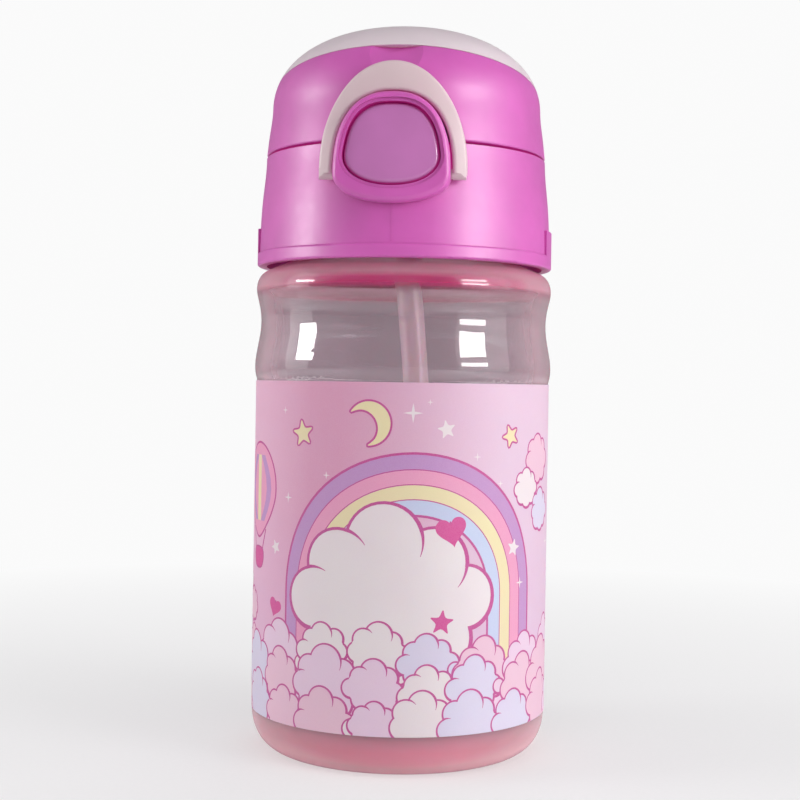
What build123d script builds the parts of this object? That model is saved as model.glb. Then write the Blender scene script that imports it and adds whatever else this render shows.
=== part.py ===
from build123d import *

import math
import os

# Child's flip-top straw bottle with a push-button lid and a swinging lock.
# Units are millimetres. The origin is the centre of the bottle's underside,
# +Z is up and the push button faces -Y.

# Bottle
PANEL_R = 34.85
RIDGE_R = 35.3
WAIST_R = 34.0
SHOULDER_R = 35.15
WALL = 1.6
FLOOR_T = 2.6
FOOT_INNER_R = 24.5
FOOT_OUTER_R = 27.8
CORNER_H = 9.2
PUSH_UP = 3.2
PANEL_TOP = 87.0
RIDGE_Z = 90.5
WAIST_Z = 100.4
SHOULDER_Z = 108.8
NECK_Z = 115.0
NECK_TOP = 131.0
NECK_R = 27.8
BORE_R = 25.8

# Printed film round the bottle
FILM_T = 0.13
FILM_BOTTOM = 9.7
FILM_TOP = 86.6
SEAM_WIDTH = 4.0
SEAM_X = 3.0

# Screw thread
PITCH = 4.5
THREAD_TURNS = 1.5
THREAD_START = 120.6
THREAD_DEPTH = 1.3
SKIRT_BORE_R = 29.5
SKIRT_R = 31.0
SKIRT_BOTTOM = 116.9

# Deck under the flip cap
DECK_BOTTOM = 133.0
DECK_TOP = 135.6
PLUG_R = 25.6
SOCKET_R = 8.3
SPOUT_BORE_R = 2.6
SPOUT_TOP = 157.5
VENT_Y = 15.0

# Collar
COLLAR_BOTTOM = 113.7
COLLAR_TOP = 139.2
BAND_R = 35.1
BAND_TOP = 116.8
COLLAR_WALL = 1.8
LEDGE_R = 27.2
GRIP_TOP = 122.4
GRIP_HALF_ANGLE = 15.0

# Flip cap and its top cover
CAP_BOTTOM = 139.75
CAP_TOP_Z = 170.3
DOME_R = 32.0
DOME_Z = 150.4
CAP_WALL = 2.2
SCOOP_R = 18.0
COVER_WALL = 2.0
COVER_SPLIT_Z = 155.2
COVER_TILT = 12.5
COVER_GAP = 0.16
LINER_INSET = 3.7
LINER_T = 1.2

# Push button and its housing on the front of the collar
HOUSING_Z = 131.5
HOUSING_HALF_W = 12.8
HOUSING_UP = 17.9
HOUSING_DOWN = 6.1
HOUSING_FACE = -37.3
HOUSING_BACK = -31.2
POCKET_BACK = -32.2
BUTTON_Z = 135.5
BUTTON_HALF_W = 10.4
BUTTON_UP = 11.4
BUTTON_DOWN = 6.1
BUTTON_FACE = -37.4
BUTTON_REAR = -34.6
BUTTON_GAP = 0.35
BUTTON_TAPER = 0.13
RIM_STEP = 1.1
RIM_DEPTH = 0.55
LATCH_Z = 144.0

# Lock bail
BAIL_HALF_W = 16.2
BAIL_Z = 133.5
BAIL_UP = 23.0
BAIL_CLEARANCE = 0.35
BAIL_REACH = 3.6
PIVOT_Y = -32.9
PIVOT_Z = 132.0
PIVOT_R = 1.1
LIMB_END_R = 1.3

# Rear hinge
HINGE_Y = 34.1
HINGE_Z = 139.4
KNUCKLE_R = 3.3
PIN_R = 1.0

# Straw
STRAW_R = 3.05
STRAW_BORE_R = 2.45
STRAW_TILT = 5.2
STRAW_HINGE_Z = 122.8
STRAW_BOTTOM = 8.5
STRAW_TOP = 130.5


def spun(*edges):
    """Solid of revolution about Z from edges drawn in (radius, height)."""
    return revolve(Plane.XZ * make_face(Curve() + list(edges)), Axis.Z)


def ring(inner, outer, bottom, top):
    """Plain ring about Z; an inner radius of zero gives a disc."""
    solid = Pos(0, 0, bottom) * extrude(Circle(outer), top - bottom)
    if inner > 0:
        solid -= Pos(0, 0, bottom - 1) * extrude(Circle(inner), top - bottom + 2)
    return solid


def block(x0, x1, y0, y1, z0, z1):
    """Box from its limits."""
    centre = ((x0 + x1) / 2, (y0 + y1) / 2, (z0 + z1) / 2)
    return Pos(*centre) * Box(x1 - x0, y1 - y0, z1 - z0)


def dish(centre_z, rim_r, rim_z):
    """Shallow arc centred on the axis, from the axis down to its rim."""
    drop = centre_z - rim_z
    radius = (rim_r**2 + drop**2) / (2 * drop)
    half = math.asin(rim_r / radius) / 2
    middle = (radius * math.sin(half), centre_z - radius * (1 - math.cos(half)))
    return ThreePointArc((0, centre_z), middle, (rim_r, rim_z))


def leaf(points, x0, x1):
    """Plate between x0 and x1 with a (y, z) outline."""
    return Pos(x0, 0, 0) * extrude(Plane.YZ * make_face(Polyline(*points, close=True)), x1 - x0)


def rod_x(radius, x0, x1, y, z):
    """Round bar along X."""
    turn = Pos((x0 + x1) / 2, y, z) * Rot(0, 90, 0)
    return turn * Cylinder(radius, x1 - x0)


def rod_y(radius, y0, y1, z):
    """Round bar along Y in the plane X = 0."""
    turn = Pos(0, (y0 + y1) / 2, z) * Rot(90, 0, 0)
    return turn * Cylinder(radius, y1 - y0)


def egg(half_w, up, down, centre_z, power_up, power_down, taper=0.0):
    """Face in the XZ plane, a superellipse with unequal halves, the upper one narrowed by taper."""
    points = []
    for step in range(48):
        angle = 2 * math.pi * step / 48
        c = math.cos(angle)
        s = math.sin(angle)
        power = power_up if s > 0 else power_down
        x = half_w * math.copysign(abs(c) ** (2 / power), c)
        level = math.copysign(abs(s) ** (2 / power), s)
        rise = up if s > 0 else down
        points.append((x * (1 - taper * max(level, 0)), centre_z + rise * level))
    return Plane.XZ * make_face(Spline(points, periodic=True))


def housing_egg(side, top):
    """Outline of the button housing, grown by the given play."""
    return egg(HOUSING_HALF_W + side, HOUSING_UP + top, HOUSING_DOWN, HOUSING_Z, 2.4, 2.1)


def button_egg(play):
    """Outline of the button, grown evenly."""
    half_w = BUTTON_HALF_W + play
    return egg(half_w, BUTTON_UP + play, BUTTON_DOWN + play, BUTTON_Z, 2.8, 2.15, BUTTON_TAPER)


def along_y(face, y0, y1):
    """Extrudes a face of the XZ plane from y0 to y1."""
    return Pos(0, y1, 0) * extrude(face, y1 - y0)


def thread(radius, depth, start):
    """Helical rib rooted in the wall; a negative depth points it inwards."""
    root = radius - math.copysign(0.4, depth)
    crest = radius + depth
    path = Pos(0, 0, start) * Helix(PITCH, PITCH * THREAD_TURNS, radius)
    rib = make_face(Polyline(
        (root, start - 1.0),
        (crest, start - 0.45),
        (crest, start + 0.45),
        (root, start + 1.0),
        close=True,
    ))
    return sweep(Plane.XZ * rib, path, is_frenet=True)


def lid_points(inset):
    """Outline of the closed cap, moved inwards by a wall thickness."""
    side = [(33.25, CAP_BOTTOM), (32.65, 145.0)]
    outline = [(r - inset, z) for r, z in side]
    height = CAP_TOP_Z - DOME_Z
    for step in range(12):
        share = (step / 11) ** 1.25
        angle = share * math.pi / 2
        r = DOME_R * math.cos(angle) ** (2 / 2.23)
        rise = height * math.sin(angle) ** (2 / 2.23)
        scale_r = (DOME_R - inset) / DOME_R
        scale_z = (height - inset) / height
        outline.append((max(r, 0) * scale_r, DOME_Z + rise * scale_z))
    outline[-1] = (0, outline[-1][1])
    return outline


def cap_solid(inset):
    """Solid body inside the cap outline."""
    points = lid_points(inset)
    foot = points[0]
    return spun(
        Line((0, foot[1]), foot),
        Spline(points, tangents=[(-0.11, 1), (-1, 0)]),
        Line(points[-1], (0, foot[1])),
    )


def collar_solid(inset):
    """Solid body inside the collar outline, without its raised band."""
    side = [(34.7, COLLAR_BOTTOM), (34.45, 123.4), (34.1, 129.0), (33.5, 134.8), (33.25, COLLAR_TOP)]
    points = [(r - inset, z) for r, z in side]
    return spun(
        Line((0, COLLAR_BOTTOM), points[0]),
        Spline(points),
        Line(points[-1], (0, COLLAR_TOP)),
        Line((0, COLLAR_TOP), (0, COLLAR_BOTTOM)),
    )


def lid_front(offset):
    """Solid inside one smooth outline of collar and cap together, moved outwards."""
    points = [(34.1 + offset, 129.0), (33.5 + offset, 134.8)] + lid_points(-offset)
    return spun(
        Line((0, 129.0), points[0]),
        Spline(points, tangents=[(-0.1, 1), (-1, 0)]),
        Line(points[-1], (0, 129.0)),
    )


def bottle_body():
    corner = EllipticalCenterArc((FOOT_OUTER_R, CORNER_H), PANEL_R - FOOT_OUTER_R, CORNER_H, 270, arc_size=90)
    outer = spun(
        Line((0, 0), (FOOT_OUTER_R, 0)),
        corner,
        Line((PANEL_R, CORNER_H), (PANEL_R, PANEL_TOP)),
        Spline(
            (PANEL_R, PANEL_TOP),
            (RIDGE_R, RIDGE_Z),
            (34.55, 95.6),
            (WAIST_R, WAIST_Z),
            (34.55, 105.0),
            (SHOULDER_R, SHOULDER_Z),
            (34.2, 111.4),
            (30.5, 113.6),
            (NECK_R, NECK_Z),
        ),
        Line((NECK_R, NECK_Z), (NECK_R, NECK_TOP)),
        Line((NECK_R, NECK_TOP), (0, NECK_TOP)),
        Line((0, NECK_TOP), (0, 0)),
    )
    inner_r = PANEL_R - WALL
    inner_corner = EllipticalCenterArc(
        (FOOT_OUTER_R, CORNER_H + 2.0), inner_r - FOOT_OUTER_R, 8.0, 270, arc_size=90
    )
    inner = spun(
        dish(PUSH_UP + FLOOR_T, FOOT_OUTER_R, CORNER_H - 6.0),
        inner_corner,
        Line((inner_r, CORNER_H + 2.0), (inner_r, PANEL_TOP)),
        Spline(
            (inner_r, PANEL_TOP),
            (RIDGE_R - WALL, RIDGE_Z),
            (34.55 - WALL, 95.6),
            (WAIST_R - WALL, WAIST_Z),
            (34.55 - WALL, 105.0),
            (SHOULDER_R - 1.8, SHOULDER_Z - 0.6),
            (29.4, 111.9),
            (BORE_R, NECK_Z - 0.6),
        ),
        Line((BORE_R, NECK_Z - 0.6), (BORE_R, NECK_TOP + 1)),
        Line((BORE_R, NECK_TOP + 1), (0, NECK_TOP + 1)),
        Line((0, NECK_TOP + 1), (0, PUSH_UP + FLOOR_T)),
    )
    hollow_foot = spun(
        dish(PUSH_UP, FOOT_INNER_R, 0),
        Line((0, PUSH_UP), (0, -1)),
        Line((0, -1), (FOOT_INNER_R, -1)),
        Line((FOOT_INNER_R, -1), (FOOT_INNER_R, 0)),
    )
    body = outer - inner - hollow_foot
    body += thread(NECK_R, THREAD_DEPTH, THREAD_START)
    return body


def label_film():
    film = ring(PANEL_R + 0.02, PANEL_R + 0.02 + FILM_T, FILM_BOTTOM, FILM_TOP)
    half = SEAM_WIDTH / 2
    return film - block(SEAM_X - half, SEAM_X + half, 20, 50, 0, 100)


def neck_gasket():
    seal = ring(PLUG_R + 0.35, NECK_R, NECK_TOP + 0.04, DECK_BOTTOM - 0.04)
    lips = ring(NECK_R - 0.6, NECK_R + 0.5, NECK_TOP + 0.5, NECK_TOP + 0.9)
    lips += ring(NECK_R - 0.6, NECK_R + 0.5, NECK_TOP + 1.2, NECK_TOP + 1.6)
    return seal + lips


def straw_frame():
    """Location of the straw's axis, leaning towards +X as it goes down."""
    return Pos(0, 0, STRAW_HINGE_Z) * Rot(0, -STRAW_TILT, 0)


def threaded_base():
    base = ring(SKIRT_BORE_R, SKIRT_R, SKIRT_BOTTOM, DECK_BOTTOM + 0.5)
    base += ring(0, SKIRT_R, DECK_BOTTOM, DECK_TOP)
    base += ring(PLUG_R - 1.6, PLUG_R, NECK_TOP - 2.5, DECK_BOTTOM + 0.5)
    base += ring(SOCKET_R, SOCKET_R + 1.4, DECK_TOP - 0.5, DECK_TOP + 2.4)
    base += straw_frame() * Pos(0, 0, 8.2) * Cylinder(5.0, 8.0)
    base -= straw_frame() * Pos(0, 0, 4.0) * Cylinder(STRAW_R + 0.03, 8.0)
    base -= ring(0, 4.4, STRAW_TOP + 0.6, DECK_TOP + 1)
    base -= Pos(0, VENT_Y, DECK_TOP) * Cylinder(1.5, 20)
    for angle in range(0, 360, 60):
        rib = block(10.5, PLUG_R - 1.2, -0.5, 0.5, DECK_BOTTOM - 2.0, DECK_BOTTOM + 0.5)
        base += Rot(0, 0, angle) * rib
    base += thread(SKIRT_BORE_R, -THREAD_DEPTH, THREAD_START - PITCH / 2)
    return base


def lid_collar():
    shell = collar_solid(0) - collar_solid(COLLAR_WALL)
    band = ring(33.6, BAND_R, COLLAR_BOTTOM, BAND_TOP)
    lugs = ring(33.6, BAND_R, BAND_TOP - 0.5, GRIP_TOP)
    reach = 60 * math.tan(math.radians(GRIP_HALF_ANGLE))
    wedge = make_face(Polyline((0, 0), (60, -reach), (60, reach), close=True))
    sectors = extrude(wedge, 200) + Rot(0, 0, 180) * extrude(wedge, 200)
    band = fillet(band.edges().filter_by(GeomType.CIRCLE).group_by(SortBy.RADIUS)[-1], 0.5)
    shell += band + (lugs & sectors)
    seat = ring(SKIRT_R + 0.05, 33.0, DECK_BOTTOM, DECK_TOP + 0.5)
    seat += ring(LEDGE_R, 32.4, DECK_TOP + 0.03, COLLAR_TOP - 0.6)
    shell += seat & collar_solid(0.3)
    boss = along_y(housing_egg(0, 0), HOUSING_FACE, HOUSING_BACK)
    boss = fillet(boss.faces().sort_by(Axis.Y)[0].edges(), 1.2)
    shell += boss
    shell -= along_y(button_egg(BUTTON_GAP), HOUSING_FACE - 5, POCKET_BACK)
    shell -= along_y(button_egg(RIM_STEP), HOUSING_FACE - 5, HOUSING_FACE + RIM_DEPTH)
    shell -= block(-6.6, 6.6, POCKET_BACK - 1, HOUSING_BACK + 1, LATCH_Z - 1.5, LATCH_Z + 1.5)
    for side in (-1, 1):
        hole_end = side * (HOUSING_HALF_W - 1.8)
        limits = sorted((hole_end, side * 20.0))
        shell -= rod_x(PIVOT_R + 0.05, *limits, PIVOT_Y, PIVOT_Z)
    knuckle_room = rod_x(KNUCKLE_R + 0.5, -10.0, 10.0, HINGE_Y, HINGE_Z)
    shell -= knuckle_room
    for side in (-1, 1):
        limits = sorted((side * 10.1, side * 14.1))
        bracket = leaf(
            [
                (29.8, 131.0),
                (32.6, 131.0),
                (HINGE_Y + 2.70, HINGE_Z - 1.89),
                (HINGE_Y, HINGE_Z),
                (29.8, HINGE_Z - 0.4),
            ],
            *limits,
        )
        shell += rod_x(KNUCKLE_R, *limits, HINGE_Y, HINGE_Z) + bracket
        shell -= rod_x(PIN_R + 0.02, *sorted((side * 9.0, side * 13.7)), HINGE_Y, HINGE_Z)
    seam = block(-0.09, 0.09, -40.0, -33.0, BAND_TOP + 0.4, HOUSING_Z - HOUSING_DOWN + 0.3)
    return shell + (seam & collar_solid(-0.07) - collar_solid(0.5))


def cover_half(offset):
    """Half-space above the tilted joint between cap and cover."""
    slab = Pos(0, 0, 25) * Box(120, 120, 50)
    return Pos(0, 0, COVER_SPLIT_Z + offset) * Rot(-COVER_TILT, 0, 0) * slab


def housing_notch():
    """Space the cap leaves round the button housing."""
    return along_y(housing_egg(0.35, 0.45), -45, -22)


def flip_cap():
    cap = cap_solid(0) - cap_solid(CAP_WALL) - cover_half(-COVER_GAP / 2)
    rim = cap.edges().filter_by(GeomType.CIRCLE).group_by(Axis.Z)[0]
    cap = fillet(rim.sort_by(SortBy.RADIUS)[-1:], 0.5)
    cap -= Pos(0, -45.1, 165.8) * Rot(-35.3, 0, 0) * Cylinder(SCOOP_R, 60)
    cap -= housing_notch()
    for side in (-1, 1):
        room = rod_x(KNUCKLE_R + 0.5, *sorted((side * 9.95, side * 14.5)), HINGE_Y, HINGE_Z)
        cap -= room
    cap -= rod_x(KNUCKLE_R, -5.0, 5.0, HINGE_Y, HINGE_Z)
    for side in (-1, 1):
        limits = sorted((side * 5.2, side * 9.8))
        bracket = leaf(
            [
                (30.6, HINGE_Z + 0.4),
                (30.6, 147.6),
                (31.6, 147.6),
                (HINGE_Y + 2.70, HINGE_Z + 1.89),
                (HINGE_Y, HINGE_Z),
            ],
            *limits,
        )
        cap += rod_x(KNUCKLE_R, *limits, HINGE_Y, HINGE_Z) + bracket
        cap -= rod_x(PIN_R + 0.05, *sorted((side * 5.0, side * 10.0)), HINGE_Y, HINGE_Z)
    return cap


def cap_top_cover():
    cover = (cap_solid(0) - cap_solid(COVER_WALL)) & cover_half(COVER_GAP / 2)
    skirt = (cap_solid(CAP_WALL + 0.05) - cap_solid(CAP_WALL + 1.3)) & cover_half(-3.0)
    shoulder = (cap_solid(1.0) - cap_solid(CAP_WALL + 1.3)) & cover_half(COVER_GAP / 2)
    return cover + ((skirt + shoulder) - cover_half(1.6))


def cap_liner():
    wall = cap_solid(LINER_INSET) - cap_solid(LINER_INSET + LINER_T)
    wall -= ring(0, 60, 159.4, 200)
    ceiling = ring(0, 24.6, 158.2, 159.4)
    flange = ring(26.6, 32.5, 140.4, 141.6) & cap_solid(CAP_WALL + 0.05)
    liner = wall + ceiling + flange
    liner += ring(8.3, 9.5, 156.6, 158.4)
    liner -= housing_notch()
    liner -= rod_x(KNUCKLE_R + 0.8, -14.5, 14.5, HINGE_Y, HINGE_Z)
    tongue = block(-3.4, 3.4, -28.2, -27.0, LATCH_Z - 2.8, 151.0)
    hook = block(-3.4, 3.4, -27.1, -26.2, LATCH_Z - 2.8, LATCH_Z - 1.4)
    return liner + tongue + hook


def spout_seal_pad():
    pad = ring(0, 8.1, SPOUT_TOP + 0.05, 158.15)
    return pad + ring(7.0, 8.1, SPOUT_TOP - 0.5, 158.15)


def drinking_spout():
    body = spun(
        Line((SPOUT_BORE_R, DECK_TOP + 0.02), (8.1, DECK_TOP + 0.02)),
        Line((8.1, DECK_TOP + 0.02), (8.1, 137.4)),
        Line((8.1, 137.4), (5.0, 137.8)),
        Spline(
            (5.0, 137.8),
            (4.5, 139.4),
            (5.2, 141.0),
            (4.5, 142.6),
            (5.2, 144.2),
            (4.5, 145.8),
            (4.9, 148.6),
            (5.9, 151.8),
            (6.1, 154.8),
            (5.3, 156.9),
            (4.2, SPOUT_TOP),
        ),
        Line((4.2, SPOUT_TOP), (SPOUT_BORE_R, SPOUT_TOP)),
        Line((SPOUT_BORE_R, SPOUT_TOP), (SPOUT_BORE_R, DECK_TOP + 0.02)),
    )
    return body


def vent_valve():
    valve = ring(0, 4.0, DECK_TOP + 0.03, DECK_TOP + 0.8)
    valve += ring(0, 1.4, DECK_BOTTOM - 1.4, DECK_TOP + 0.4)
    valve += ring(0, 2.2, DECK_BOTTOM - 1.4, DECK_BOTTOM - 0.05)
    return Pos(0, VENT_Y, 0) * valve


def straw():
    length = (STRAW_TOP - STRAW_BOTTOM) / math.cos(math.radians(STRAW_TILT))
    middle = (STRAW_TOP + STRAW_BOTTOM) / 2 - STRAW_HINGE_Z
    tube = Pos(0, 0, middle) * (Cylinder(STRAW_R, length) - Cylinder(STRAW_BORE_R, length + 1))
    return straw_frame() * tube


def hinge_pin():
    return rod_x(PIN_R, -13.6, 13.6, HINGE_Y, HINGE_Z)


def coil(mean_r, wire_r, pitch, length):
    """Helical wire along Z starting on the XY plane."""
    path = Helix(pitch, length, mean_r)
    section = Plane(origin=path @ 0, z_dir=path % 0) * Circle(wire_r)
    return sweep(section, path, is_frenet=True)


def hinge_spring():
    wire_r = 0.4
    spring = Pos(-4.0, HINGE_Y, HINGE_Z) * Rot(0, 90, 0) * coil(2.1, wire_r, 1.15, 8.0)
    return spring


def button_spring():
    return Pos(0, POCKET_BACK - 0.4, BUTTON_Z) * Rot(90, 0, 0) * coil(2.3, 0.25, 0.65, 1.6)


def release_button():
    button = along_y(button_egg(0), BUTTON_FACE, BUTTON_REAR)
    dome = Pos(0, BUTTON_FACE + 60.0, BUTTON_Z) * Sphere(60.0)
    button = button & dome
    button = fillet(button.edges().filter_by(GeomType.BSPLINE).sort_by(Axis.Y)[:1], 1.1)
    button -= rod_y(3.0, BUTTON_REAR - 1.6, BUTTON_REAR + 1, BUTTON_Z)
    for side in (-1, 1):
        limits = sorted((side * 4.6, side * 6.2))
        button += block(*limits, BUTTON_REAR - 0.5, -23.8, LATCH_Z - 1.0, LATCH_Z + 1.0)
    button += block(-6.2, 6.2, -25.2, -23.8, LATCH_Z - 1.0, LATCH_Z + 1.0)
    return button


def lock_bail():
    arch = egg(BAIL_HALF_W, BAIL_UP, BAIL_UP, BAIL_Z, 2.0, 2.0)
    above = block(-30, 30, -60, 0, PIVOT_Z, 200)
    hoop = along_y(arch, -45, -20) - along_y(housing_egg(0.3, 0.45), -46, -19)
    outer = lid_front(BAIL_REACH)
    bail = (hoop & above & outer) - lid_front(BAIL_CLEARANCE)
    rims = [edge for edge in bail.edges() if edge.length > 30 and edge.bounding_box().min.Y < -34]
    bail = fillet(rims, 0.75)
    for side in (-1, 1):
        limb = sorted((side * (HOUSING_HALF_W + 0.35), side * (BAIL_HALF_W - 0.1)))
        stub = sorted((side * (HOUSING_HALF_W - 1.6), side * (HOUSING_HALF_W + 0.5)))
        bail += rod_x(LIMB_END_R, *limb, PIVOT_Y, PIVOT_Z) & outer
        bail += rod_x(PIVOT_R, *stub, PIVOT_Y, PIVOT_Z)
    return bail


NODES = [
    bottle_body,
    label_film,
    neck_gasket,
    threaded_base,
    lid_collar,
    flip_cap,
    cap_top_cover,
    cap_liner,
    spout_seal_pad,
    drinking_spout,
    vent_valve,
    straw,
    hinge_pin,
    hinge_spring,
    button_spring,
    release_button,
    lock_bail,
]

os.makedirs("parts", exist_ok=True)
for make in NODES:
    solid = make()
    export_step(solid, f"parts/{make.__name__}.step")
    print(make.__name__, len(solid.solids()), round(solid.volume, 1), solid.bounding_box())
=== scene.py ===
"""Looks for the child's flip-top straw bottle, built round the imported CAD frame."""

import math
import random

import bmesh
import bpy
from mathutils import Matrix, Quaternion, Vector
from mathutils.geometry import delaunay_2d_cdt


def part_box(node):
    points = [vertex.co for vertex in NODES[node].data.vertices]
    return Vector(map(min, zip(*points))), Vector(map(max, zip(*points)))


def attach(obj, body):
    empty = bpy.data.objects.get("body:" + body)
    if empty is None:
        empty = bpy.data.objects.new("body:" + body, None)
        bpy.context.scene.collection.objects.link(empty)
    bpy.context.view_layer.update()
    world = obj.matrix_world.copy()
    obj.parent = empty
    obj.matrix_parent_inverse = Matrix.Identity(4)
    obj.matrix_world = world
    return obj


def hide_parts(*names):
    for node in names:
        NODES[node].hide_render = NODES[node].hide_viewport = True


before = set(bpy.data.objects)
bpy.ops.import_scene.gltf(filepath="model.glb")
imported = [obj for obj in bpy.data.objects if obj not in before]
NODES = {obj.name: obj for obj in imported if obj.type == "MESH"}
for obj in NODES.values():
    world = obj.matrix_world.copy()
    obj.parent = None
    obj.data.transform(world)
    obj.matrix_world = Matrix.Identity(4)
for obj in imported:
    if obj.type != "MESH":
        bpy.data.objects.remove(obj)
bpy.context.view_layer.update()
MM = 0.001

film_low, film_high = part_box("label_film")
FILM_RADIUS = film_high.x
FILM_THICK = 0.13 * MM
SEAM_HALF = 2.0      # half the gap between the ends of the wrap, mm
SEAM_OFF = 3.0       # how far the gap lies from the middle of the back, mm

# Heights on the clear bottle where a change begins and where it is complete.
FOOT_TINT = (14.0 * MM, 6.0 * MM)          # the foot takes its own colour
FOOT_CLOUD = (11.5 * MM, 3.0 * MM)         # the foot turns cloudy
BEAD_LID_REFLECTION = (106.0 * MM, 107.2 * MM)       # the shoulder bead takes a painted pink reflection of the magenta lid
BEAD_CLOUD = (107.4 * MM, 108.4 * MM)      # the bead turns cloudy
BEAD_TOP_HIGHLIGHT = (109.6 * MM, 110.8 * MM)       # painted highlight: the bead's colour pales along its top


# ---------------------------------------------------------------- materials

def linear(rgb):
    """sRGB 0-255 to scene-linear."""
    out = []
    for c in rgb:
        c = c / 255
        out.append(c / 12.92 if c <= 0.04045 else ((c + 0.055) / 1.055) ** 2.4)
    return (*out, 1.0)


def shade(colour, factor):
    """A linear colour made darker or lighter."""
    return tuple(min(1, c * factor) for c in colour[:3]) + (1.0,)


class Nodes:
    """Short calls for building the node tree of a material or of the world."""

    def __init__(self, owner, output):
        owner.use_nodes = True
        self.owner = owner
        self.tree = owner.node_tree
        self.tree.nodes.clear()
        self.out = self.add(output)

    def add(self, kind, **inputs):
        """New node; each name is one of its settings or, failing that, an input socket."""
        node = self.tree.nodes.new(kind)
        for key, value in inputs.items():
            if hasattr(node, key):
                setattr(node, key, value)
            else:
                self.put(node.inputs[key.replace("_", " ")], value)
        return node

    def put(self, socket, value):
        if isinstance(value, bpy.types.NodeSocket):
            self.tree.links.new(value, socket)
        else:
            socket.default_value = value

    def coords(self):
        return self.add("ShaderNodeTexCoord").outputs["Object"]

    def axes(self):
        """Sockets X, Y and Z of the place being shaded."""
        return self.add("ShaderNodeSeparateXYZ", Vector=self.coords()).outputs

    def noise(self, scale, detail=2.0, rough=0.5):
        node = self.add("ShaderNodeTexNoise", Scale=scale, Detail=detail, Roughness=rough)
        self.put(node.inputs["Vector"], self.coords())
        return node.outputs["Fac"]

    def drawn_noise(self, scales, detail):
        """Noise with its own scale along each axis, for lines left by drawing the stock."""
        stretch = self.add("ShaderNodeMapping", Vector=self.coords(), Scale=scales)
        node = self.add("ShaderNodeTexNoise", Vector=stretch.outputs[0], Scale=1.0, Detail=detail)
        return node.outputs["Fac"]

    def ramp(self, value, low, high, a=0.0, b=1.0):
        """a where value is low, b where it is high, straight between."""
        return self.add("ShaderNodeMapRange", Value=value, From_Min=low, From_Max=high,
                        To_Min=a, To_Max=b).outputs["Result"]

    def mix(self, fac, a, b):
        """Colour between a and b."""
        node = self.add("ShaderNodeMix", data_type="RGBA")
        for index, v in ((0, fac), (6, a), (7, b)):
            self.put(node.inputs[index], v)
        return node.outputs[2]

    def maths(self, operation, *values, clamp=False):
        node = self.add("ShaderNodeMath", operation=operation, use_clamp=clamp)
        for socket, v in zip(node.inputs, values):
            self.put(socket, v)
        return node.outputs[0]

    def blend(self, fac, a, b):
        """Shader between a and b."""
        node = self.add("ShaderNodeMixShader")
        for socket, v in zip(node.inputs, (fac, a, b)):
            self.put(socket, v)
        return node.outputs[0]

    def see_through(self, rgb):
        return self.add("ShaderNodeBsdfTransparent", Color=(*rgb, 1)).outputs[0]

    def ray(self, kind):
        return self.add("ShaderNodeLightPath").outputs[kind]

    def bump(self, height, depth):
        return self.add("ShaderNodeBump", Height=height, Distance=depth).outputs["Normal"]

    def shader(self, **inputs):
        return self.add("ShaderNodeBsdfPrincipled", **inputs).outputs["BSDF"]

    def finish(self, surface):
        self.put(self.out.inputs["Surface"], surface)
        return self.owner


def new_material(name):
    return Nodes(bpy.data.materials.new(name), "ShaderNodeOutputMaterial")


def plastic(name, rgb, rough, glow=0.0, coat=0.0, coat_rough=0.0, orange_peel=0.6, spread=0.05,
            shine=0.5, gap_shade=None):
    """Moulded plastic: faint colour drift, fine surface texture and uneven gloss.

    The gap colour, when given, is painted into crevices and narrow gaps between the parts as
    painted shade, and also given off there as a faint painted glow.
    """
    n = new_material(name)
    base = linear(rgb)
    light = shade(base, 1 + spread)
    drift = n.ramp(n.noise(scale=55, detail=3), 0.35, 0.65)
    colour = n.mix(drift, shade(base, 1 - spread * 1.6), light)
    fleck = n.ramp(n.noise(scale=5200, detail=1), 0.68, 0.8, 0, 0.12)
    colour = n.mix(fleck, colour, light)
    gloss = n.ramp(n.noise(scale=420, detail=4, rough=0.6), 0.3, 0.7, rough - 0.04, rough + 0.05)
    skin = n.bump(n.noise(scale=2400, detail=3, rough=0.6), orange_peel * 0.006 * MM)
    gap_glow = {}
    if gap_shade:
        # Painted shade and glow: ambient occlusion finds crevices and narrow gaps, which are
        # painted towards the deep gap colour and made to give it off as a faint glow.
        deep = linear(gap_shade)
        free = n.add("ShaderNodeAmbientOcclusion", Distance=3 * MM, samples=6).outputs["AO"]
        colour = n.mix(n.ramp(free, 0.72, 0.2, 0.0, 0.9), colour, deep)
        gap_glow = {"Emission_Color": deep, "Emission_Strength": n.ramp(free, 0.35, 0.05)}
    return n.finish(n.shader(
        Base_Color=colour, Roughness=gloss, Normal=skin, IOR=1.5,
        Subsurface_Weight=glow, Subsurface_Scale=3 * MM, Subsurface_Radius=(1.0, 0.5, 0.8),
        Coat_Weight=coat, Coat_Roughness=coat_rough, Specular_IOR_Level=shine, **gap_glow,
    ))


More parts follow.
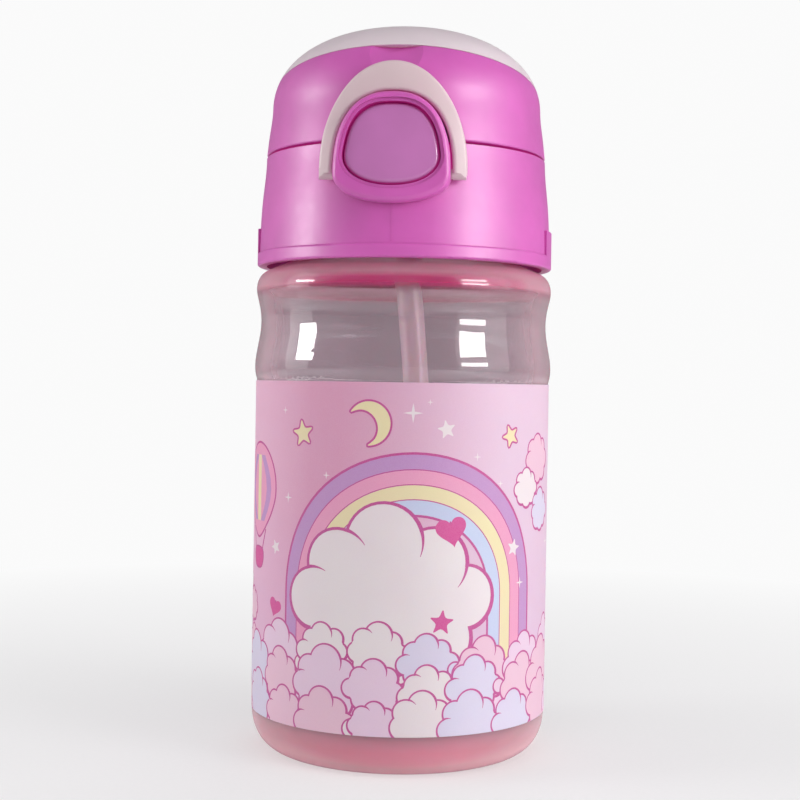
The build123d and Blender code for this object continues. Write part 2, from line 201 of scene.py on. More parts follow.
def clear_plastic(name, rgb):
    """Tinted see-through copolyester, milkier at grazing angles, in its foot and in its bead; the
    bead's milk carries a painted reflection of the magenta lid and a painted highlight along its
    top.
    """
    n = new_material(name)
    height = n.axes()["Z"]
    facing = n.add("ShaderNodeLayerWeight", Blend=0.35).outputs["Facing"]
    flow = n.bump(n.noise(scale=90), 0.05 * MM)
    glass = n.shader(
        Base_Color=(0.985, 0.955, 0.98, 1), Normal=flow, IOR=1.54, Transmission_Weight=1.0,
        Roughness=n.ramp(n.noise(scale=140, detail=3), 0.35, 0.7, 0.015, 0.045),
    )
    side = n.ramp(facing, 0.08, 0.38)
    foot_tint = n.mix(side, linear((255, 158, 180)), linear((226, 178, 186)))
    # Painted reflection and highlight: the bead is painted magenta-pink where it faces the camera,
    # as the lid seen in it, paler towards its edges, and paler again along its top.
    bead_reflection = n.mix(side, linear((225, 80, 138)), linear((240, 186, 200)))
    bead_reflection = n.mix(n.ramp(height, *BEAD_TOP_HIGHLIGHT), bead_reflection, linear((246, 180, 196)))
    milk = n.mix(n.ramp(height, *FOOT_TINT), linear((250, 208, 216)), foot_tint)
    milk = n.mix(n.ramp(height, *BEAD_LID_REFLECTION), milk, bead_reflection)
    cloudy = n.shader(
        Base_Color=milk, Roughness=0.2, Normal=flow, IOR=1.5,
        Subsurface_Weight=0.6, Subsurface_Scale=4 * MM, Subsurface_Radius=(1.0, 0.6, 0.7),
    )
    foot = n.ramp(height, *FOOT_CLOUD, 0.0, 0.7)
    bead = n.ramp(height, *BEAD_CLOUD, 0.0, 0.26)
    rim = n.ramp(facing, 0.24, 0.8, 0.05, 0.45)
    share = n.maths("ADD", n.maths("ADD", foot, bead), rim, clamp=True)
    wall = n.blend(share, glass, cloudy)
    inside = n.add("ShaderNodeVolumeAbsorption", Color=linear(rgb), Density=45.0)
    n.put(n.out.inputs["Volume"], inside.outputs[0])
    return n.finish(n.blend(n.ray("Is Shadow Ray"), wall, n.see_through((0.93, 0.86, 0.90))))


def silicone(name, rgb):
    """Soft translucent rubber with a fine matt bloom."""
    n = new_material(name)
    base = linear(rgb)
    cloud = n.mix(n.ramp(n.noise(scale=160, detail=4), 0.3, 0.7), shade(base, 0.9), base)
    bloom = n.ramp(n.noise(scale=900, detail=5, rough=0.7), 0.3, 0.7, 0.38, 0.55)
    return n.finish(n.shader(
        Base_Color=cloud, Roughness=bloom, IOR=1.43, Transmission_Weight=0.16, Sheen_Weight=0.15,
        Normal=n.bump(n.noise(scale=3000, detail=3, rough=0.7), 0.006 * MM),
        Subsurface_Weight=0.6, Subsurface_Scale=4 * MM, Subsurface_Radius=(1, 0.9, 0.9),
    ))


def tube_plastic(name, rgb):
    """Milky polyethylene tube with upright streaks, which lets part of the light through."""
    n = new_material(name)
    base = linear(rgb)
    streak = n.drawn_noise((1500, 1500, 60), detail=3.0)
    body = n.shader(
        Base_Color=n.mix(n.ramp(streak, 0.35, 0.65), shade(base, 0.93), base),
        Roughness=0.28, IOR=1.5, Transmission_Weight=0.3, Normal=n.bump(streak, 0.008 * MM),
        Subsurface_Weight=0.5, Subsurface_Scale=3 * MM,
    )
    return n.finish(n.blend(0.24, body, n.see_through((0.9, 0.87, 0.89))))


def steel(name, rgb):
    """Drawn steel: fine lines along X and slight darkening."""
    n = new_material(name)
    base = linear(rgb)
    line = n.drawn_noise((200, 5000, 5000), detail=4.0)
    return n.finish(n.shader(
        Base_Color=n.mix(n.ramp(line, 0.3, 0.7), shade(base, 0.75), base), Metallic=1.0,
        Roughness=n.ramp(line, 0.2, 0.8, 0.22, 0.37), Normal=n.bump(line, 0.003 * MM),
    ))


def ground_light_and_tint(n, colour):
    """Painted light on the printed ground: it pales to the right, as painted light from that side,
    and at its left edge, as a painted sheen; it also cools towards the foot.
    """
    place = n.axes()
    # Painted light: paler to the right and at the left edge.
    right = n.ramp(place["X"], -0.3 * FILM_RADIUS, 0.75 * FILM_RADIUS)
    left = n.ramp(place["X"], -0.5 * FILM_RADIUS, -0.98 * FILM_RADIUS, 0.0, 0.7)
    down = n.ramp(place["Z"], 55 * MM, 20 * MM, 0.0, 0.45)
    for share, rgb in ((right, (218, 188, 208)), (left, (232, 190, 212)), (down, (212, 172, 204))):
        colour = n.mix(share, colour, linear(rgb))
    return colour


def film_ink(name, rgb, light_and_tint=None):
    """Printed film: halftone grain, slight density drift and a satin surface."""
    n = new_material(name)
    colour = linear(rgb)
    # For the ground, painted light is added here: paler to the right and at its left edge.
    if light_and_tint:
        colour = light_and_tint(n, colour)
    dots = n.add("ShaderNodeTexVoronoi", Vector=n.coords(), Scale=4200.0).outputs["Distance"]
    colour = n.mix(n.ramp(dots, 0.1, 0.7, 0.0, 0.05), colour, (1, 1, 1, 1))
    density = n.ramp(n.noise(scale=70, detail=3), 0.35, 0.65, 0, 0.06)
    colour = n.mix(density, colour, linear((205, 150, 190)))
    return n.finish(n.shader(
        Base_Color=colour, Roughness=n.ramp(n.noise(scale=300, detail=4), 0.3, 0.7, 0.6, 0.7),
        IOR=1.5, Normal=n.bump(n.noise(scale=160), 0.02 * MM),
        Subsurface_Weight=0.1, Subsurface_Scale=1 * MM,
    ))


# Deep magenta painted into crevices and gaps of the magenta and lilac parts, as painted shade and
# a faint painted glow.
GAP_SHADE = (150, 18, 102)
magenta = plastic("magenta_plastic", (208, 92, 181), rough=0.44, glow=0.22,
                  coat=0.42, coat_rough=0.34, shine=0.75, gap_shade=GAP_SHADE)
lilac = plastic("lilac_button", (194, 116, 180), rough=0.42, glow=0.1,
                coat=1.0, coat_rough=0.05, orange_peel=0.3, gap_shade=GAP_SHADE)
pale = plastic("pale_pink_plastic", (226, 212, 218), rough=0.38, glow=0.12, spread=0.02)
blush = plastic("blush_plastic", (217, 194, 198), rough=0.4, glow=0.12, spread=0.02, shine=0.7)
white = plastic("white_polypropylene", (236, 230, 232), rough=0.42, glow=0.2)
clear = clear_plastic("clear_copolyester", (227, 188, 212))
soft = silicone("clear_silicone", (240, 234, 235))
tube = tube_plastic("straw_polyethylene", (244, 226, 230))
wire = steel("spring_wire", (176, 174, 176))

for node, material in {
    "lid_collar": magenta, "flip_cap": magenta, "threaded_base": magenta, "release_button": lilac,
    "cap_top_cover": pale, "lock_bail": blush, "cap_liner": white, "bottle_body": clear,
    "neck_gasket": soft, "spout_seal_pad": soft, "vent_valve": soft, "drinking_spout": soft,
    "straw": tube, "hinge_pin": wire, "hinge_spring": wire, "button_spring": wire,
}.items():
    NODES[node].data.materials.clear()
    NODES[node].data.materials.append(material)


# ---------------------------------------------------------------- mesh helpers

def new_piece(name, verts, faces, materials, body, node):
    """Mesh that rides on a body and stands for a CAD node."""
    mesh = bpy.data.meshes.new(name)
    mesh.from_pydata(verts, [], faces)
    mesh.polygons.foreach_set("use_smooth", [True] * len(faces))
    for m in materials:
        mesh.materials.append(m)
    piece = bpy.data.objects.new(name, mesh)
    bpy.context.scene.collection.objects.link(piece)
    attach(piece, body)
    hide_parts(node)
    return mesh


def smooth(points, steps, closed=False):
    """Catmull-Rom curve through points, with the given steps from each to the next."""
    n = len(points)
    out = []
    for i in range(n if closed else n - 1):
        near = range(i - 1, i + 3)
        p = [points[k % n] if closed else points[min(max(k, 0), n - 1)] for k in near]
        for s in range(steps):
            t = s / steps
            out.append(tuple(
                0.5 * (2 * p[1][d] + (p[2][d] - p[0][d]) * t
                       + (2 * p[0][d] - 5 * p[1][d] + 4 * p[2][d] - p[3][d]) * t * t
                       + (3 * p[1][d] - p[0][d] - 3 * p[2][d] + p[3][d]) * t ** 3)
                for d in (0, 1)))
    if not closed:
        out.append(points[-1])
    return out


# ---------------------------------------------------------------- printed wrap
# The picture is drawn flat: u runs round the bottle from the front, v is the
# height, both in millimetres. Later shapes cover earlier ones.

GROUND, INK = "ground", "ink"
PAINTS = {
    GROUND: (214, 150, 180),
    INK: (188, 60, 138),
    "white": (229, 216, 218),
    "blush": (228, 186, 204),
    "haze": (212, 204, 224),
    "lilac": (186, 138, 190),
    "pink": (228, 150, 184),
    "butter": (230, 214, 168),
    "sky": (190, 200, 226),
    "rose": (206, 66, 142),
    "pale": (226, 196, 216),
}
shapes = []


def signed_area(points):
    """Twice the area inside the points, positive when they run anticlockwise."""
    return sum(a[0] * b[1] - b[0] * a[1] for a, b in zip(points, points[1:] + points[:1]))


def paint(colour, points):
    shapes.append((colour, points if signed_area(points) > 0 else points[::-1]))


def turned(points, cu, cv, turn):
    """Points turned about the origin, then moved to (cu, cv)."""
    ct, st = math.cos(turn), math.sin(turn)
    return [(cu + x * ct - y * st, cv + x * st + y * ct) for x, y in points]


def disc(colour, cu, cv, ru, rv=None, sides=26):
    """Circle, or ellipse where rv is given."""
    rv = rv or ru
    angles = [2 * math.pi * i / sides for i in range(sides)]
    paint(colour, [(cu + ru * math.cos(a), cv + rv * math.sin(a)) for a in angles])


def stroke(points, width, steps, taper):
    """Brush line whose ends have the share taper of its width."""
    path = smooth(points, steps)
    left, right = [], []
    for i, (u, v) in enumerate(path):
        a, b = path[max(i - 1, 0)], path[min(i + 1, len(path) - 1)]
        du, dv = b[0] - a[0], b[1] - a[1]
        length = math.hypot(du, dv) or 1
        t = i / (len(path) - 1)
        half = width / 2 * (taper + (1 - taper) * math.sin(math.pi * t) ** 0.5)
        left.append((u - dv / length * half, v + du / length * half))
        right.append((u + dv / length * half, v - du / length * half))
    paint(INK, left + right[::-1])


def outlined(colour, points, width):
    """Closed curve with an ink line of the given width round it."""
    path = smooth(points, 5, closed=True)
    sign = 1 if signed_area(path) > 0 else -1
    grown = []
    for i, (u, v) in enumerate(path):
        a, b = path[i - 1], path[(i + 1) % len(path)]
        du, dv = b[0] - a[0], b[1] - a[1]
        length = math.hypot(du, dv) or 1
        grown.append((u + sign * dv / length * width, v - sign * du / length * width))
    paint(INK, grown)
    paint(colour, path)


def hook(u, v, r, start, width):
    """Arc that carries a lobe's outline on into the cloud and thins out."""
    steps, turn = 8, -0.7
    outer, inner = [], []
    for i in range(steps + 1):
        a = start + turn * i / steps
        half = width / 2 * (1 - 0.85 * i / steps)
        outer.append((u + math.cos(a) * (r + half), v + math.sin(a) * (r + half)))
        inner.append((u + math.cos(a) * (r - half), v + math.sin(a) * (r - half)))
    paint(INK, outer + inner[::-1])


def joint(a, b):
    """Angle, seen from lobe a, of the outer crossing with its right-hand neighbour b."""
    du, dv = b[0] - a[0], b[1] - a[1]
    apart = math.hypot(du, dv)
    if apart >= a[2] + b[2] or apart <= abs(a[2] - b[2]):
        return None
    spread = math.acos((a[2] ** 2 + apart ** 2 - b[2] ** 2) / (2 * a[2] * apart))
    return math.atan2(dv, du) + spread


def lobed(lobes, filling, fill, line, hooks):
    """Cloud of overlapping discs and an ellipse, with an uneven outline and short inner lines."""
    right, down = 0.16 * line, 0.2 * line      # makes the outline heavier at the lower right
    for u, v, r in lobes:
        disc(INK, u + right, v - down, r + line / 2, sides=36)
    for u, v, r in lobes:
        disc(fill, u, v, r - line / 2, sides=36)
    disc(fill, *filling, sides=30)
    for i in hooks:
        start = joint(lobes[i], lobes[i + 1])
        if start is not None:
            hook(*lobes[i], start, line)


# Places and radii of a cloud's bumps, as shares of its size, from the left over the top.
BUMPS = ((-0.7, -0.12, 0.36), (-0.5, 0.3, 0.36), (-0.06, 0.52, 0.42), (0.42, 0.34, 0.36),
         (0.68, -0.06, 0.34), (0.4, -0.46, 0.36), (-0.06, -0.56, 0.38), (-0.48, -0.46, 0.36))


def cloud(cu, cv, size, fill, seed, line=0.5):
    """Small cloud: a ring of bumps over a round body, each one a little different."""
    rng = random.Random(seed)
    flip = rng.choice((-1, 1))
    lobes = []
    for x, y, r in BUMPS:
        k = rng.uniform(0.9, 1.12)
        bump = r * size * rng.uniform(0.92, 1.08)
        lobes.append((cu + flip * x * size * k, cv + y * size * k, bump))
    if flip < 0:       # the bumps still run from the left over the top
        lobes = lobes[4::-1] + lobes[:4:-1]
    body = (cu, cv - 0.02 * size, 0.84 * size, 0.68 * size)
    lobed(lobes, body, fill, line, (rng.choice((0, 1)), 2))


def big_cloud(cu, cv):
    """The large cloud in the middle of the front, drawn with a bold line."""
    lobes = [(cu + u, cv + v, r) for u, v, r in (
        (-18, 2, 6.8), (-12, 10, 7.6), (-1.5, 15, 8.6), (9.5, 10.5, 7.8), (17, 3, 7.0),
        (11, -6, 7.5), (0, -8, 8.5), (-11, -5.5, 8.0))]
    lobed(lobes, (cu, cv + 2, 16, 11), "white", 0.85, (0, 1, 2, 3))


def star(colour, cu, cv, r, turn, line=0.42):
    """Five rounded points, with an ink line unless line is 0."""
    points = []
    for i in range(10):
        a = math.pi / 2 + turn + i * math.pi / 5
        s = r if i % 2 == 0 else r * 0.5
        points.append((cu + math.cos(a) * s, cv + math.sin(a) * s))
    if line:
        outlined(colour, points, line)
    else:
        paint(colour, smooth(points, 4, closed=True))


def sparkle(cu, cv, r):
    """Four thin white points."""
    points = []
    for i in range(16):
        a = math.pi / 2 + i * math.pi / 8
        s = (r, 0.34 * r, 0.2 * r, 0.34 * r)[i % 4]
        points.append((cu + math.cos(a) * s, cv + math.sin(a) * s))
    paint("white", points)


def bow_band(cu, cv, r0, r1, colour, drop):
    """Half ring on two straight legs."""
    arc = [math.pi * i / 40 for i in range(41)]
    outer = [(cu + math.cos(a) * r1, cv + math.sin(a) * r1) for a in arc]
    inner = [(cu + math.cos(a) * r0, cv + math.sin(a) * r0) for a in arc[::-1]]
    foot = cv - drop
    left_leg = [(cu - r1, foot), (cu - r0, foot)]
    paint(colour, [(cu + r1, foot)] + outer + left_leg + inner + [(cu + r0, foot)])


def rainbow(cu, cv, r, width, drop, line=0.55):
    """Four stripes inside an ink outline, with a thin ink line between them."""
    colours = ("lilac", "pink", "butter", "sky")
    step = width / len(colours)
    thin = 0.12
    bow_band(cu, cv, r - width - line, r + line, INK, drop)
    for i, colour in enumerate(colours):
        top = r - i * step
        bow_band(cu, cv, top - step, top, colour, drop)
        if i:
            bow_band(cu, cv, top - thin, top + thin, INK, drop)


def moon(cu, cv, r, turn=0.5, line=0.45):
    """Crescent: an arc, and a smaller one back inside it."""
    outer = [-2.1 + 4.2 * i / 14 for i in range(15)]
    inner = [1.75 - 3.5 * i / 12 for i in range(1, 12)]
    points = [(r * math.cos(a), r * math.sin(a)) for a in outer]
    points += [(r * 0.75 * math.cos(a) - r * 0.38, r * 0.82 * math.sin(a)) for a in inner]
    outlined("butter", turned(points, cu, cv, turn), line)


def heart(cu, cv, r, turn, line=0.4):
    """Rose heart with an ink outline."""
    points = []
    for i in range(20):
        t = 2 * math.pi * i / 20 + 0.157
        y = 13 * math.cos(t) - 5 * math.cos(2 * t) - 2 * math.cos(3 * t) - math.cos(4 * t)
        points.append((math.sin(t) ** 3 * r, y / 16 * r))
    outlined("rose", turned(points, cu, cv, turn), line)


def balloon(cu, cv, r):
    """Hot-air balloon: a striped envelope that narrows downwards, two ropes and a basket."""
    line, tall, narrowing = 0.5, 1.12, 0.45
    envelope = []
    for i in range(18):
        a = math.pi / 2 + 2 * math.pi * i / 18
        x, y = math.cos(a) * r, math.sin(a) * r * tall
        if y < 0:
            x *= 1 - narrowing * (y / (r * tall)) ** 2
            y *= tall
        envelope.append((cu + x, cv + y))
    outlined("pink", envelope, line)
    half = 0.13 * r
    for k, colour in ((-0.62, "lilac"), (0.0, "butter"), (0.62, "lilac")):
        middle = [(cu + k * r * math.sin(t * math.pi / 8) * 1.05, cv + r * (1.1 - 0.28 * t))
                  for t in range(1, 8)]
        left = [(u - half, v) for u, v in middle]
        right = [(u + half, v) for u, v in middle[::-1]]
        paint(colour, left + right)
    for side in (-1, 1):
        rope = [(cu + side * r * 0.5, cv - r * 1.05), (cu + side * r * 0.26, cv - r * 1.62)]
        stroke(rope, line, steps=2, taper=0.9)
    outlined("rose", [(cu - r * 0.3, cv - r * 1.6), (cu + r * 0.3, cv - r * 1.6),
                      (cu + r * 0.24, cv - r * 2.0), (cu - r * 0.24, cv - r * 2.0)], 0.4)


def front_scene():
    """A rainbow rising from one large cloud, with a moon over it."""
    rainbow(6, 40, 31, 13, 16)
    big_cloud(1, 37)
    moon(-4.2, 77.6, 4.8)
    star("butter", -20.6, 75.0, 2.9, 0.15)
    star("rose", 12.5, 34.5, 2.8, -0.1, line=0)
    heart(14.5, 54.5, 3.6, 0.2)
    star("white", 13.0, 76.5, 2.1, 0.2, line=0)
    star("white", 31.5, 50.0, 2.0, -0.2, line=0)
    star("white", -29.5, 49.0, 1.7, 0.4, line=0)


def side_scenes():
    """Left and right of the front."""
    balloon(-39, 62, 9.0)
    star("butter", 30, 75, 2.5, 0.4)
    heart(-29.5, 35.5, 2.4, -0.3)
    cloud(42, 70, 6.2, "blush", seed=142)
    cloud(36.5, 63.5, 4.8, "white", seed=136)
    cloud(44, 58, 5.4, "haze", seed=144)
    cloud(-50, 40, 5.0, "white", seed=50)
    cloud(-44, 34.5, 4.4, "blush", seed=56)


def back_scene():
    """A smaller rainbow between clouds, with a second moon and balloon."""
    rainbow(84, 38, 24, 10.5, 14)
    cloud(62, 40, 7.5, "white", seed=31, line=0.6)
    cloud(104, 38, 7.5, "white", seed=32, line=0.6)
    cloud(84, 41, 8.5, "blush", seed=35, line=0.6)
    moon(84, 76, 4.6, 0.8)
    balloon(-88, 60, 9.5)
    cloud(-70, 66, 7.0, "white", seed=41, line=0.6)
    cloud(-63, 57, 5.0, "blush", seed=42)
    heart(-74, 47, 2.8, 0.25)
    star("butter", 58, 72, 2.8, -0.2)
    star("rose", -103, 40, 2.6, 0.2, line=0)
    star("butter", -55, 77, 2.4, 0.3)
    star("white", 70, 74, 2.0, 0.1, line=0)
    star("white", -97, 76, 2.0, 0.3, line=0)


def sparkles():
    for u, v, r in (
        (5.5, 80, 2.2), (9.2, 82.4, 0.7), (20.5, 70.5, 1.0), (-14, 66, 0.9), (-31, 25.5, 1.6),
        (27, 64.5, 0.8), (50, 50, 1.6), (72, 66, 1.4), (98, 66, 1.7), (-80, 80, 1.3),
        (-104, 66, 1.6), (-97, 47, 1.2), (-60, 46, 1.5), (-26.5, 80, 0.9), (34, 42, 1.4),
        (-52, 68, 1.2), (-25, 60.5, 1.3),
    ):
        sparkle(u, v, r)


def cloud_bank():
    """Three rows of small clouds along the bottom, the back row in a wave."""
    rng = random.Random(7)
    half = math.pi * FILM_RADIUS / MM
    ends, low, top = half + 1, film_low.z / MM - 1, 21
    paint("pale", [(-ends, low), (ends, low), (ends, top), (-ends, top)])
    fills = ("blush", "haze", "white", "pale")
    rows = ((26.0, 7.4, 17), (20.0, 7.6, 18), (13.2, 6.8, 19))     # height, size, number
    for row, (v, size, count) in enumerate(rows):
        for i in range(count):
            u = -half + 2 * half * (i + 0.5 * (row % 2) + 0.3) / count + rng.uniform(-1.2, 1.2)
            lift = 2.6 * math.sin(u * 0.09 + 2.2) if row == 0 else rng.uniform(-1.2, 1.2)
            grown = size * rng.uniform(0.85, 1.15)
            cloud(u, v + lift, grown, fills[(i * 3 + row + i // 4) % 4], seed=100 * row + i)
            if i % 3 == row % 3:
                puff = rng.uniform(1.5, 2.2)
                pu, pv = u + grown * 0.95, v + lift - rng.uniform(0, 2.5)
                disc(INK, pu + 0.08, pv - 0.1, puff + 0.25)
                disc(fills[(i + row) % 4], pu, pv, puff - 0.25)


def cut_sheet():
    """Points and triangles of the flat wrap; each triangle has the paint of its topmost shape."""
    girth = 2 * math.pi * FILM_RADIUS / MM
    seam = girth / 2 - SEAM_OFF
    u0, u1 = seam - girth + SEAM_HALF, seam - SEAM_HALF
    v0, v1 = film_low.z / MM, film_high.z / MM
    verts = [(u0, v0), (u1, v0), (u1, v1), (u0, v1)]
    faces = [[0, 1, 2, 3]]
    strips, weld = 150, 1e-5
    cuts = []          # upright, so that the sheet can be rolled
    for i in range(1, strips):
        u = u0 + (u1 - u0) * i / strips
        cuts.append((len(verts), len(verts) + 1))
        verts += [(u, v0), (u, v1)]
    shown = [(colour, points) for colour, points in shapes
             if max(p[0] for p in points) >= u0 and min(p[0] for p in points) <= u1]
    for _, points in shown:
        faces.append(list(range(len(verts), len(verts) + len(points))))
        verts += points
    flat = [Vector(v) for v in verts]
    points, _, triangles, _, _, owners = delaunay_2d_cdt(flat, cuts, faces, 0, weld)
    painted = []
    for triangle, owner in zip(triangles, owners):
        if 0 in owner:
            top = max(owner)
            painted.append((triangle, shown[top - 1][0] if top else GROUND))
    return points, painted


def wrap_film():
    """Rolls the cut sheet round the bottle and gives it its thickness."""
    points, painted = cut_sheet()
    used = sorted({i for triangle, _ in painted for i in triangle})
    place = {old: new for new, old in enumerate(used)}
    count = len(used)
    verts, normals = [], []
    for radius, way in ((FILM_RADIUS, 1), (FILM_RADIUS - FILM_THICK, -1)):
        for i in used:
            a = points[i].x * MM / FILM_RADIUS
            verts.append((radius * math.sin(a), -radius * math.cos(a), points[i].y * MM))
            normals.append((way * math.sin(a), -way * math.cos(a), 0.0))
    names = list(PAINTS)
    faces, slots = [], []
    border = {}        # edges that only one triangle has, in order
    for triangle, colour in painted:
        t = [place[i] for i in triangle]
        faces += [t, [i + count for i in reversed(t)]]
        slots += [names.index(colour), len(names)]
        for a, b in zip(t, t[1:] + t[:1]):
            if (b, a) in border:
                del border[b, a]
            else:
                border[a, b] = True
    for a, b in border:
        faces.append([b, a, a + count, b + count])
        slots.append(names.index(GROUND))
    # The ground gets painted light, paler to the right and at its left edge, and a cooler tint
    # towards the foot.
    painted_light_and_tints = {GROUND: ground_light_and_tint}
    materials = [film_ink("film_" + k, PAINTS[k], painted_light_and_tints.get(k)) for k in names]
    materials.append(plastic("film_back", (232, 206, 222), rough=0.3))
    mesh = new_piece("printed_wrap", verts, faces, materials, "bottle", "label_film")
    mesh.polygons.foreach_set("material_index", slots)
    mesh.normals_split_custom_set_from_vertices(normals)


front_scene()
side_scenes()
back_scene()
sparkles()
cloud_bank()
wrap_film()


# ---------------------------------------------------------------- silicone parts
# Profiles are (radius, height) in millimetres, with heights above the CAD node's foot.

def lathe(name, node, body, profile, sides, shape=None, centre_y=0.0):
    """Soft ring or plug turned from a profile; a profile that ends on the axis is capped there."""
    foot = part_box(node)[0].z / MM
    verts, faces, index = [], [], {}
    for s in range(sides):
        a = 2 * math.pi * s / sides
        for i, (r, height) in enumerate(profile):
            if r == 0 and s > 0:
                index[s, i] = index[0, i]
                continue
            x, y = r * math.cos(a), r * math.sin(a)
            if shape:
                x, y = shape(x, y, r, height)
            index[s, i] = len(verts)
            verts.append((x * MM, (y + centre_y) * MM, (foot + height) * MM))
    n = len(profile)
    for s in range(sides):
        t = (s + 1) % sides
        for i in range(n if profile[0][0] else n - 1):
            j = (i + 1) % n
            corners = [index[s, i], index[t, i], index[t, j], index[s, j]]
            faces.append(list(dict.fromkeys(corners)))     # on the axis two corners are one
    mesh = new_piece(name, verts, faces, [soft], body, node)
    shell = bmesh.new()
    shell.from_mesh(mesh)
    bmesh.ops.recalc_face_normals(shell, faces=shell.faces)
    shell.to_mesh(mesh)
    shell.free()


def ease(value, low, high):
    t = min(1.0, max(0.0, (value - low) / (high - low)))
    return t * t * (3 - 2 * t)


def mouthpiece():
    """Spout with a bellows neck and an oval bite tip whose bore closes to a slit."""
    low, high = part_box("drinking_spout")
    tall = (high.z - low.z) / MM
    bore_limit = 3.4       # every point closer to the axis than this lies in the bore
    neck_foot, neck_length, neck_radius = 2.6, 9.0, 5.0
    ridge_pitch, ridge_height = 2.25, 0.42
    outer = [(7.8, 0.1), (8.05, 0.35), (8.05, 1.1), (7.8, 1.5), (6.4, 1.75), (5.6, 2.1)]
    for i in range(37):
        up = neck_length * i / 36
        ridge = ridge_height * math.cos(2 * math.pi * up / ridge_pitch)
        outer.append((neck_radius - ridge, neck_foot + up))
    outer += [(4.75, 12.4), (5.0, 13.4), (5.02, 13.7), (5.22, 13.9), (5.35, 14.6), (5.38, 14.9),
              (5.56, 15.1), (5.75, 16.2), (5.95, 17.6), (6.02, 18.9), (5.85, 20.0), (5.4, 20.9),
              (4.6, 21.5), (3.7, 21.75)]
    bore = [(3.0, 21.6), (2.65, 21.1), (2.6, 20.0), (2.6, 17.0), (2.6, 14.0), (2.6, 8.0),
            (2.6, 2.0), (2.8, 0.1)]

    def oval(x, y, r, height):
        flat = ease(height, 0.56 * tall, 0.9 * tall)
        slit = ease(height, 0.8 * tall, 0.97 * tall) if r < bore_limit else 0.0
        return x * (1 + 0.25 * slit), y * (1 - 0.2 * flat) * (1 - 0.62 * slit)

    lathe("spout_mouthpiece", "drinking_spout", "lid", outer + bore, 96, oval)


def air_valve():
    """Umbrella valve: a thin domed flap on a stem with a swollen end."""
    low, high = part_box("vent_valve")
    profile = [(0, 4.55), (0.5, 4.57), (1.1, 4.66), (2.0, 4.78), (3.0, 4.68), (3.7, 4.42),
               (3.98, 4.2), (3.9, 4.06), (3.2, 4.05), (1.45, 4.05), (1.4, 3.8), (1.4, 1.4),
               (1.5, 1.34), (2.1, 1.28), (2.18, 0.95), (1.8, 0.4), (1.0, 0.06), (0, 0.02)]
    lathe("air_valve", "vent_valve", "lid", profile, 48, centre_y=(low.y + high.y) / 2 / MM)


def closing_pad():
    """Pad with a raised rim and fine rings across its face."""
    face_radius, face_width, face_height = 6.7, 6.2, 0.7
    ring_pitch, ring_height = 1.55, 0.09
    profile = [(0, 1.12), (7.7, 1.12), (8.0, 1.05), (8.08, 0.9), (8.08, 0.3), (7.95, 0.08),
               (7.55, 0.02), (7.2, 0.08), (7.05, 0.3), (7.0, 0.6)]
    for i in range(31):
        r = face_radius - face_width * i / 30
        ring = ring_height * math.cos(2 * math.pi * (face_radius - r) / ring_pitch)
        profile.append((r, face_height + ring))
    profile.append((0, 0.72))
    lathe("closing_pad", "spout_seal_pad", "cap", profile, 72)


def neck_seal():
    """Ring with two sealing lips round its outside."""
    widest, lowest, highest = 28.29, 0.01, 1.91
    section = [(25.98, 0.35), (25.98, 1.55), (26.25, 1.88), (27.5, 1.88), (27.75, 1.65),
               (28.25, 1.42), (28.25, 1.22), (27.72, 0.96), (28.25, 0.7), (28.25, 0.5),
               (27.75, 0.27), (27.5, 0.04), (26.25, 0.04)]
    profile = [(min(r, widest), min(max(height, lowest), highest))
               for r, height in smooth(section, 3, closed=True)]
    lathe("neck_seal", "neck_gasket", "gasket", profile, 120)


mouthpiece()
air_valve()
closing_pad()
neck_seal()


# ---------------------------------------------------------------- studio

PAPER = (0.96, 0.96, 0.96, 1)


def floor_paper():
    """White paper: lit near the bottle, fading to the plain backdrop further out."""
    n = new_material("floor_paper")
    away = n.add("ShaderNodeVectorMath", operation="LENGTH", Vector=n.coords()).outputs["Value"]
    far = n.ramp(away, 0.05, 0.35, 0.5, 1.0)
    fibre = n.ramp(n.noise(scale=900, detail=4), 0.3, 0.7)
    sheet = n.mix(fibre, (0.80, 0.79, 0.80, 1), (0.83, 0.82, 0.83, 1))
    plain = n.add("ShaderNodeEmission", Color=PAPER).outputs[0]
    share = n.maths("MULTIPLY", far, n.ray("Is Camera Ray"))
    return n.finish(n.blend(share, n.shader(Base_Color=sheet, Roughness=0.85), plain))


def floor():
    half = 6.0
    sheet = bpy.data.objects.new("floor", bpy.data.meshes.new("floor"))
    corners = [(-half, -half, 0), (half, -half, 0), (half, half, 0), (-half, half, 0)]
    sheet.data.from_pydata(corners, [], [(0, 1, 2, 3)])
    sheet.data.materials.append(floor_paper())
    bpy.context.scene.collection.objects.link(sheet)


def room():
    """Plain backdrop to the camera; for reflections, a dim room that is brighter to both sides."""
    n = Nodes(bpy.data.worlds.new("studio"), "ShaderNodeOutputWorld")
    facing = n.add("ShaderNodeTexCoord").outputs["Generated"]
    across = n.add("ShaderNodeSeparateXYZ", Vector=facing).outputs["X"]
    sideways = n.add("ShaderNodeMapRange", interpolation_type="SMOOTHSTEP",
                     Value=n.maths("ABSOLUTE", across), From_Min=0.45, From_Max=0.95)
    walls = n.mix(sideways.outputs["Result"], (0.195, 0.19, 0.2, 1), (0.46, 0.44, 0.45, 1))
    colour = n.mix(n.ray("Is Camera Ray"), walls, PAPER)
    bpy.context.scene.world = n.finish(n.add("ShaderNodeBackground", Color=colour).outputs[0])


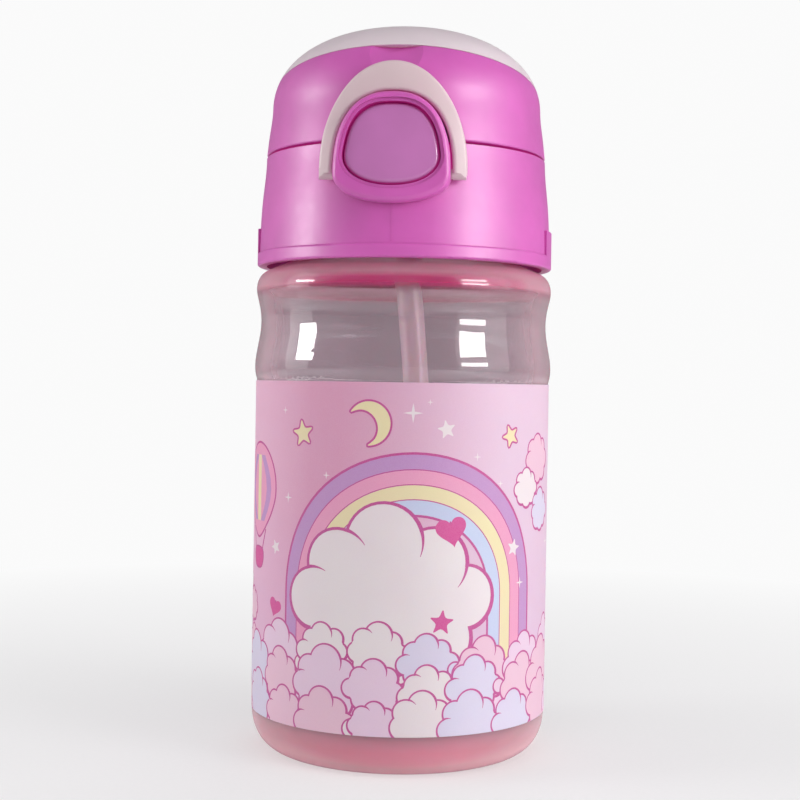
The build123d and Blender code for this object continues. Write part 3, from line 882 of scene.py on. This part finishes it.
def lamp(name, place, aim_height, size, power, reflected=True):
    """Rectangular soft light aimed at the bottle's axis, in metres and watts.

    It isn't seen through the clear bottle, and in reflections only if reflected is set.
    """
    light = bpy.data.lights.new(name, "AREA")
    light.shape = "RECTANGLE"
    light.size, light.size_y = size
    light.energy = power
    obj = bpy.data.objects.new(name, light)
    obj.visible_glossy = reflected
    obj.visible_transmission = False
    obj.location = place
    aim = Vector((0, 0, aim_height)) - Vector(place)
    obj.rotation_euler = aim.to_track_quat("-Z", "Y").to_euler()
    bpy.context.scene.collection.objects.link(obj)


def lights():
    """Two broad side panels with small bright boxes for the highlights, and two fill lights."""
    low, middle, high = 0.09, 0.1, 0.12
    lamp("box_left", (-0.84, -0.225, 0.26), low, size=(0.26, 0.11), power=2.2)
    lamp("panel_left", (-0.92, -0.12, 0.30), low, size=(0.42, 0.9), power=2.2)
    lamp("box_right_high", (0.75, -0.43, 0.37), low, size=(0.34, 0.10), power=1.9)
    lamp("box_right_low", (0.75, -0.43, 0.17), low, size=(0.34, 0.10), power=1.7)
    lamp("panel_right", (0.87, -0.32, 0.30), low, size=(0.8, 0.9), power=3.4)
    lamp("top", (0.05, -0.42, 0.95), high, size=(0.5, 0.4), power=1.7, reflected=False)
    lamp("back", (0.2, 0.9, 0.6), middle, size=(0.8, 0.5), power=2.4, reflected=False)


def camera():
    """Level camera, slightly rolled, whose horizon passes above the middle of the frame."""
    distance, height, azimuth, roll = 0.350, 0.0865, math.radians(5.0), 0.0158
    data = bpy.data.cameras.new("camera")
    data.sensor_width = 36.0
    data.lens = 65.5
    data.shift_x = -0.0031
    data.shift_y = -0.0214
    data.clip_start = 0.01
    cam = bpy.data.objects.new("camera", data)
    cam.location = (distance * math.sin(azimuth), -distance * math.cos(azimuth), height)
    look = Vector((-math.sin(azimuth), math.cos(azimuth), 0)).to_track_quat("-Z", "Y")
    cam.rotation_mode = "QUATERNION"
    cam.rotation_quaternion = look @ Quaternion((0, 0, 1), roll)
    bpy.context.scene.collection.objects.link(cam)
    bpy.context.scene.camera = cam


bpy.context.scene.view_settings.view_transform = "Standard"
floor()
room()
lights()
camera()
